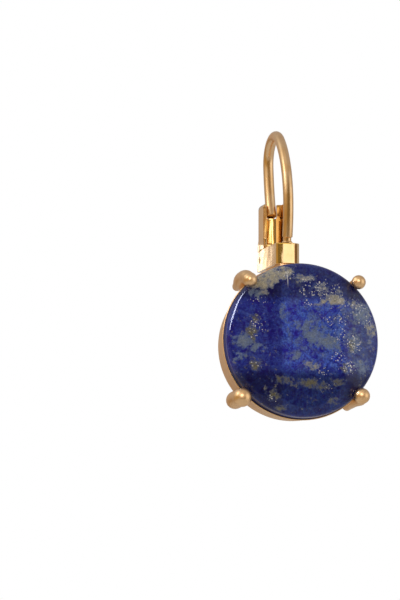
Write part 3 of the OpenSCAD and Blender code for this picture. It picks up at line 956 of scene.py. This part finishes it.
def knuckle(setting, wire):
    """The channel that holds the wire's foot and the hinge pin"""
    half, long, radius = setting.knuckle_width / 2, setting.knuckle_length, setting.corner
    end = long - PIN_BACK
    bow = half * half / (2 * FRONT_BOW)
    front = [(x, bow - sqrt(bow * bow - x * x), 0) for x in (half * t / BOW_PARTS for t in BOW_STEPS)]
    corner = [(half - across, back, 0) for across, back in CORNER_FACETS]
    plan = rounded([(-half, FRONT_BOW, radius), *front, *corner, (half, long, 0), (-half, long, 0)])
    body = prism("knuckle", plan, KNUCKLE_BOTTOM, KNUCKLE_TOP, "Z")
    below, above = KNUCKLE_BOTTOM - PAST, KNUCKLE_TOP + PAST
    side = rounded([(-PAST, below, 0), (long, below, 0), (long, PIN_UP + end, end),
                    (PIN_BACK - end, PIN_UP + end, 0), (PIN_BACK - end, above, 0), (-PAST, above, 0)])
    worked(body, "INTERSECT", prism("side", side, -2 * half, 2 * half))
    inner = half - setting.knuckle_wall
    channel = slab("channel", (-inner, inner), (setting.nose, long + PAST),
                   (KNUCKLE_BOTTOM + setting.knuckle_floor, above))
    hole = on_pin("hole", wire.pin / 2 + PIN_HOLE_GAP, 2 * half)
    socket = prism("socket", disc((0, TENON_BACK), wire.tenon / 2 + PIECE_GAP / 2), KNUCKLE_TOP - SOCKET_DEEP,
                   above, "Z")
    worked(body, "DIFFERENCE", channel, hole, socket)
    return scored(softened(body, BRIGHT_EDGE), (KNUCKLE_BOTTOM + SCORE_IN, KNUCKLE_TOP - SCORE_IN))


class EARRING_OT_setting(bpy.types.Operator):
    """Make the cup with its prongs and neck as one piece, and the knuckle as another"""

    bl_idname = "earring.setting"
    bl_label = "Setting"

    def execute(self, context):
        s = in_mm(context.scene)
        body, tree = cup(s.setting, s.stone), prong_tree()
        worked(body, "UNION", *(prong(tree, s.setting, s.stone, *row) for row in PRONGS))
        body.data.transform(on_face(s.stone))
        neck = softened(prism("neck", rounded(NECK_OUTLINE), -NECK_WIDTH / 2, NECK_WIDTH / 2), NECK_SOFT)
        worked(body, "UNION", neck)
        finished(body, "cup_and_prongs", "setting", "earring", gold(s.finish, "matte"))
        hinge = knuckle(s.setting, s.wire)
        worked(hinge, "UNION", slab("strip", *STRIP))
        finished(hinge, "knuckle", "setting", "earring", gold(s.finish, "bright"), FLAT_FROM)
        return {"FINISHED"}


# Bends of the ear wire from its foot to its end: (radius in millimetres, turn in degrees)
WIRE_BENDS = [(14, 10), (8.25, 60), (3.3, 70), (2.25, 61), (20, 14.65)]
WIRE_START = (0.52, 10.7)
WIRE_STEP = 0.16
END_STEPS = (0.0, 0.004, 0.016, 0.036, 0.064, 0.1, 0.14, 0.2)
TENON_IN_WIRE = 0.1
TENON_EDGE = 0.05
# Rim of the collar round the wire's foot: (out from the foot, above the knuckle)
COLLAR = [(0.12, 0.01), (0.13, 0.1), (0.06, 0.2)]
COLLAR_TOP = 0.22


def wire_point(run, lean):
    """Place of the wire's centreline, back and up, at a run from its start"""
    y, z = WIRE_START
    heading = -lean
    for radius, degrees in WIRE_BENDS:
        turn = min(radians(degrees), run / radius)
        y += radius * (cos(heading) - cos(heading + turn))
        z += radius * (sin(heading + turn) - sin(heading))
        heading += turn
        run -= radius * turn
    return y, z


def wire_route(lean):
    """The wire's centreline as a curve, with close points at its ends"""
    whole = sum(radius * radians(degrees) for radius, degrees in WIRE_BENDS)
    middle = int(whole / WIRE_STEP)
    runs = {whole * i / middle for i in range(2, middle - 1)}
    runs = sorted(runs | set(END_STEPS) | {whole - step for step in END_STEPS})
    return path("wire_route", [(0, *wire_point(run, lean)) for run in runs])


class EARRING_OT_wire(bpy.types.Operator):
    """Make the ear wire with its foot and collar"""

    bl_idname = "earring.wire"
    bl_label = "Ear Wire"

    def execute(self, context):
        s = in_mm(context.scene)
        wire = s.wire
        bent = grown("wire", wire_tree(), vars(wire), wire_route(wire.lean))
        r, low, high = wire.tenon / 2, KNUCKLE_TOP - SOCKET_DEEP + PIECE_GAP, WIRE_START[1] + TENON_IN_WIRE
        tenon = turned("tenon", [(0, low), (r - TENON_EDGE, low), (r, low + TENON_EDGE), (r, high), (0, high)])
        rim = [(r + out, KNUCKLE_TOP + up) for out, up in COLLAR]
        collar = turned("collar", [(0, rim[0][1]), *rim, (0, KNUCKLE_TOP + COLLAR_TOP)])
        for part in (tenon, collar):
            part.data.transform(Matrix.Translation((0, TENON_BACK, 0)))
        worked(bent, "UNION", tenon, collar)
        finished(bent, "ear_wire", "ear_hook", "earring", gold(s.finish, "satin"))
        return {"FINISHED"}


# Side outline of the lever: (back, up, corner radius)
LEVER_OUTLINE = [
    (5.5, 14.6, 0.55), (7.55, 14.6, 0.12), (7.55, 11.1, 0.5), (7.88, 10.5, 0.15), (7.88, 9.98, 0.08),
    (7.55, 9.98, 0.0), (7.1, 10.15, 0.0), (5.4, 10.15, 0.0), (5.4, 10.5, 0.1), (5.5, 11.1, 0.5)
]
LEVER_BASE = 10.5
TIP_ROUND = 0.55
BORE_ROUND = 0.68
CLEAR_RADIUS, CLEAR_SPOKES = 0.97, 64
CAM_RADIUS = 0.6
CAM_TOP = 10.4
CAM_SIDE = 0.1
STEM_HALF = CAM_RADIUS - 0.05
OVERLAP = 0.1
TONGUE_SOFT, TONGUE_STEPS = 0.09, 4
NOTCH_ROUND = 0.12
PIN_RUNNING_GAP = 0.04
TONGUE_ACROSS, TONGUE_LOW, TONGUE_HIGH, TONGUE_RISE = -0.17, 10.75, 13.14, 0.3
HEEL_WIDTH, HEEL_LOW, HEEL_RISE = 0.86, 10.45, 0.4


def lever_shell(lever):
    """The lever's channel with its rounded tip and its notch"""
    half, front = lever.width / 2, lever.back - lever.depth
    shell = prism("lever", rounded(LEVER_OUTLINE), -half, half)
    through, above = (front - PAST, lever.back + PAST), lever.tip + PAST
    worked(shell, "INTERSECT", prism("tip", band(half, 0, lever.tip, 0, TIP_ROUND), *through, "Y"))
    bore = band(half - lever.wall, through[0], lever.back - lever.wall, 0, BORE_ROUND)
    notch = band(lever.notch / 2, lever.notch_low, above, NOTCH_ROUND)
    worked(shell, "DIFFERENCE", prism("bore", bore, LEVER_BASE, above, "Z"),
           prism("notch", notch, *through, "Y"), on_pin("clear", CLEAR_RADIUS, 2 * half, CLEAR_SPOKES))
    return softened(shell, BRIGHT_EDGE)


class EARRING_OT_lever(bpy.types.Operator):
    """Make the lever with its tongue, heel and cam"""

    bl_idname = "earring.lever"
    bl_label = "Lever"

    def execute(self, context):
        s = in_mm(context.scene)
        lever, shell = s.lever, lever_shell(s.lever)
        face = lever.back - lever.wall
        ends = ((-lever.tongue_low, TONGUE_LOW), (lever.tongue_low, TONGUE_LOW), (lever.tongue_top, TONGUE_HIGH),
                (-lever.tongue_top, TONGUE_HIGH))
        tongue = prism("tongue", [(TONGUE_ACROSS + wide / 2, z) for wide, z in ends], face - TONGUE_RISE,
                       face + OVERLAP, "Y")
        heel = slab("heel", (TONGUE_ACROSS - HEEL_WIDTH / 2, TONGUE_ACROSS + HEEL_WIDTH / 2),
                    (face - HEEL_RISE, face + OVERLAP), (HEEL_LOW, TONGUE_LOW))
        cam_half = s.setting.knuckle_width / 2 - s.setting.knuckle_wall - CAM_SIDE / 2
        cam = on_pin("cam", CAM_RADIUS, cam_half)
        stem = slab("stem", (-cam_half, cam_half), (PIN_BACK - STEM_HALF, PIN_BACK + STEM_HALF), (PIN_UP, CAM_TOP))
        worked(cam, "UNION", stem)
        worked(cam, "DIFFERENCE", on_pin("eye", s.wire.pin / 2 + PIN_RUNNING_GAP, 2 * cam_half))
        worked(shell, "UNION", softened(tongue, TONGUE_SOFT, TONGUE_STEPS), softened(heel, BRIGHT_EDGE), cam)
        finished(shell, "lever_channel", "lever", "lever", gold(s.finish, "bright"), FLAT_FROM)
        return {"FINISHED"}


DOME = 0.05


class EARRING_OT_pin(bpy.types.Operator):
    """Make the hinge pin with its slightly domed heads"""

    bl_idname = "earring.pin"
    bl_label = "Hinge Pin"

    def execute(self, context):
        s = in_mm(context.scene)
        r, half = s.wire.pin / 2, s.setting.knuckle_width / 2
        dome = [(r * sin(t), half + DOME * cos(t)) for t in map(radians, QUARTER)]
        pin = turned("pin", dome + [(x, -z) for x, z in reversed(dome)])
        pin.data.transform(Matrix.Translation((0, PIN_BACK, PIN_UP)) @ Matrix.Rotation(pi / 2, 4, "Y"))
        finished(pin, "rivet", "hinge_pin", "earring", gold(s.finish, "bright"))
        return {"FINISHED"}


IMAGE_SIZE = (400, 600)
# Where the middle of the stone's girdle lies in the image, and the image's scale there
STONE_IN_IMAGE = (300.7, 341.2)
PIXELS_PER_MM = 10.4
SENSOR = 36
CLIP = (0.01, 10)
STONE_SPOT = (0, -0.0106, -0.0206)
KNUCKLE_SPOT = (0, -0.0056, -0.0115)
WALL_SPOT = (-0.0012, 0.0011, -0.0115)
TONGUE_SPOT = (-0.00023, 0.0013, -0.0087)
LIT_GROUPS = {"lapis_stone": "stone", "knuckle": "polished", "lever_channel": "polished", "rivet": "polished",
              "cup_and_prongs": "matte"}
# Lights in metres from the hanging point: (name, place, spot that it faces, width, height, radiance, tint, group of
# pieces that it alone lights, whether it is only mirrored)
LIGHTS = [
    ("rim_light", (-0.55, -0.12, 0.4), STONE_SPOT, 0.2, 0.24, 3.5),
    ("prong_light", (-0.12, -0.5, 0.16), STONE_SPOT, 0.2, 0.2, 6.5, (1.0, 0.9, 0.9), "matte"),
    ("arc_light", (-0.51, -0.253, 0.36), STONE_SPOT, 0.36, 0.42, 30.0, (0.72, 0.77, 1.0), "stone", True),
    ("knuckle_card", (-0.00475, 0.0157, -0.0098), WALL_SPOT, 0.0005, 0.003, 2.2, (1.0, 0.99, 0.97), "polished"),
    ("knuckle_streak", (-0.00536, 0.01549, -0.0098), WALL_SPOT, 0.0003, 0.003, 1.0, (1.0, 0.9, 0.75), "polished"),
    ("knuckle_strip", (0.0091, -0.0432, -0.0082), KNUCKLE_SPOT, 0.0212, 0.006, 1.2, (1.0, 0.97, 0.97), "polished"),
    ("lever_strip", (-0.005, -0.043, -0.0028), KNUCKLE_SPOT, 0.036, 0.0048, 0.95, (1.0, 0.84, 0.24), "polished"),
    ("tongue_card", (0.0025, -0.0103, -0.0074), TONGUE_SPOT, 0.00065, 0.0032, 2.2, (1.0, 0.98, 0.9), "polished")
]
# Glow of the studio by direction: (name, azimuth and elevation, reach and soft edge in degrees, colour)
GLOWS = [
    ("below", 0, -90, 60, 35, (0.5, 0.4, 0.28)),
    ("low_back", -150, -35, 45, 20, (0.32, 0.2, 0.09)),
    ("dim_left", -70, 0, 64, 30, (0.44, 0.28, 0.08)),
    ("front", -2, 2, 44, 14, (0.19, 0.13, 0.045)),
    ("upper_front", 0, 68, 24, 14, (0.7, 0.62, 0.5)),
    ("upper_left", -48, 38, 24, 16, (0.9, 0.86, 0.8)),
    ("left_key", -95, 42, 34, 22, (1.0, 0.97, 0.93)),
    ("behind_left", -166, 8, 20, 12, (0.5, 0.4, 0.33)),
    ("right_card", 56, 8, 36, 24, (1.2, 1.14, 1.06)),
    ("right_gap", 91, 6, 9, 5, (0.2, 0.12, 0.06))
]
ROOM = (0.46, 0.43, 0.42)
BACKGROUND = (1.0, 1.0, 1.0)
FLOOR_HALF = 0.8
FLOOR_ROUGHNESS = 0.9


def floor(stage):
    """Plain pale floor under the earring"""
    half, z = FLOOR_HALF, -stage.floor_drop * MM
    corners = [(-half, -half, z), (half, -half, z), (half, half, z), (-half, half, z)]
    mesh = bpy.data.meshes.new("floor")
    mesh.from_pydata(corners, [], [(0, 1, 2, 3)])
    paper, g, shader = new_material("paper")
    g.feed(shader, {"Base Color": stage.paper, "Roughness": FLOOR_ROUGHNESS})
    mesh.materials.append(paper)
    new_object("floor", mesh)


def lit_group(name):
    """The pieces that a card is turned to"""
    return bpy.data.collections.get(name) or bpy.data.collections.new(name)


def lamp(name, place, aim, width, height, radiance, tint=(1.0, 1.0, 1.0), lit=None, mirrored_only=False):
    """A soft rectangular light that faces a spot on the earring, or a card turned to one group of pieces"""
    data = bpy.data.lights.new(name, "AREA")
    data.shape = "RECTANGLE"
    data.size, data.size_y = width, height
    data.energy = radiance * pi * width * height
    made = new_object(name, data)
    made.location = place
    made.rotation_euler = (Vector(aim) - Vector(place)).to_track_quat("-Z", "Y").to_euler()
    made.visible_camera = False
    made.visible_diffuse = not mirrored_only
    data.color = tint
    if lit:
        made.light_linking.receiver_collection = lit_group(lit)


def toward(azimuth, elevation):
    """Unit vector to a direction, where azimuth 0 is the front and 90 the right"""
    return Vector((sin(azimuth) * cos(elevation), -cos(azimuth) * cos(elevation),
                   sin(elevation)))


def camera(stage, target):
    """The photograph's viewing angle, turned so that the stone lies where it does in the image"""
    back = toward(stage.azimuth, stage.elevation)
    right = Vector((cos(stage.azimuth), sin(stage.azimuth), 0))
    up = back.cross(right)
    across = (STONE_IN_IMAGE[0] - IMAGE_SIZE[0] / 2) / PIXELS_PER_MM
    down = (STONE_IN_IMAGE[1] - IMAGE_SIZE[1] / 2) / PIXELS_PER_MM
    far = stage.camera_distance
    out = (back * far + right * across - up * down).normalized()
    side = up.cross(out).normalized()
    data = bpy.data.cameras.new("camera")
    data.sensor_width = SENSOR
    data.lens = SENSOR * PIXELS_PER_MM * far / max(IMAGE_SIZE)
    data.clip_start, data.clip_end = CLIP
    made = new_object("camera", data)
    turn = Matrix((side, out.cross(side), out)).transposed()
    made.matrix_world = Matrix.Translation(target + back * far * MM) @ turn.to_4x4()
    bpy.context.scene.camera = made


def surroundings():
    """A studio that is white where the camera sees it and glows by direction where the earring mirrors it"""
    world = bpy.data.worlds.new("studio")
    bpy.context.scene.world = world
    world.use_nodes = True
    g = Graph(world.node_tree)
    way = g.math("NORMALIZE", g.add("ShaderNodeTexCoord")["Generated"])
    glow = ROOM
    for name, azimuth, elevation, reach, edge, rgb in GLOWS:
        middle = toward(radians(azimuth), radians(elevation))
        facing = g.add("ShaderNodeVectorMath", {0: way, 1: middle}, operation="DOT_PRODUCT", label=name)["Value"]
        outer, full = (cos(radians(a)) for a in (reach, reach - edge))
        glow = g.mix(g.span(facing, outer, full, kind="SMOOTHSTEP"), glow, rgb)
    seen = g.add("ShaderNodeLightPath")["Is Camera Ray"]
    g.feed(g.tree.nodes["Background"], {"Color": g.mix(seen, glow, BACKGROUND)})


class EARRING_OT_stage(bpy.types.Operator):
    """Set up the floor, the lights and the camera"""

    bl_idname = "earring.stage"
    bl_label = "Stage"

    def execute(self, context):
        s = in_mm(context.scene)
        floor(s.stage)
        surroundings()
        for row in LIGHTS:
            lamp(*row)
        camera(s.stage, stone_middle(s.stone))
        context.scene.view_settings.view_transform = "Standard"
        return {"FINISHED"}


class VIEW3D_PT_earring(bpy.types.Panel):
    """Makes each piece of the earring"""

    bl_label = "Lapis Earring"
    bl_space_type = "VIEW_3D"
    bl_region_type = "UI"
    bl_category = "Earring"

    def draw(self, context):
        for operator in OPERATORS:
            self.layout.operator(operator.bl_idname)
        for key in GROUPS:
            box = self.layout.box()
            group = getattr(context.scene, key)
            for prop in own_properties(group):
                box.prop(group, prop.identifier)


GROUPS = {
    "earring_stone": StoneSettings,
    "earring_setting": SettingSettings,
    "earring_wire": WireSettings,
    "earring_lever": LeverSettings,
    "earring_finish": FinishSettings,
    "earring_stage": StageSettings,
}
OPERATORS = (EARRING_OT_stage, EARRING_OT_stone, EARRING_OT_setting, EARRING_OT_wire, EARRING_OT_lever,
             EARRING_OT_pin)
CLASSES = (*GROUPS.values(), *OPERATORS, VIEW3D_PT_earring)


def register():
    for each in CLASSES:
        bpy.utils.register_class(each)
    for key, group in GROUPS.items():
        setattr(bpy.types.Scene, key, bpy.props.PointerProperty(type=group))


def unregister():
    for key in GROUPS:
        delattr(bpy.types.Scene, key)
    for each in reversed(CLASSES):
        bpy.utils.unregister_class(each)


def main():
    register()
    bpy.ops.earring.stage()
    bpy.ops.earring.stone()
    bpy.ops.earring.setting()
    bpy.ops.earring.wire()
    bpy.ops.earring.lever()
    bpy.ops.earring.pin()


if __name__ == "__main__":
    main()
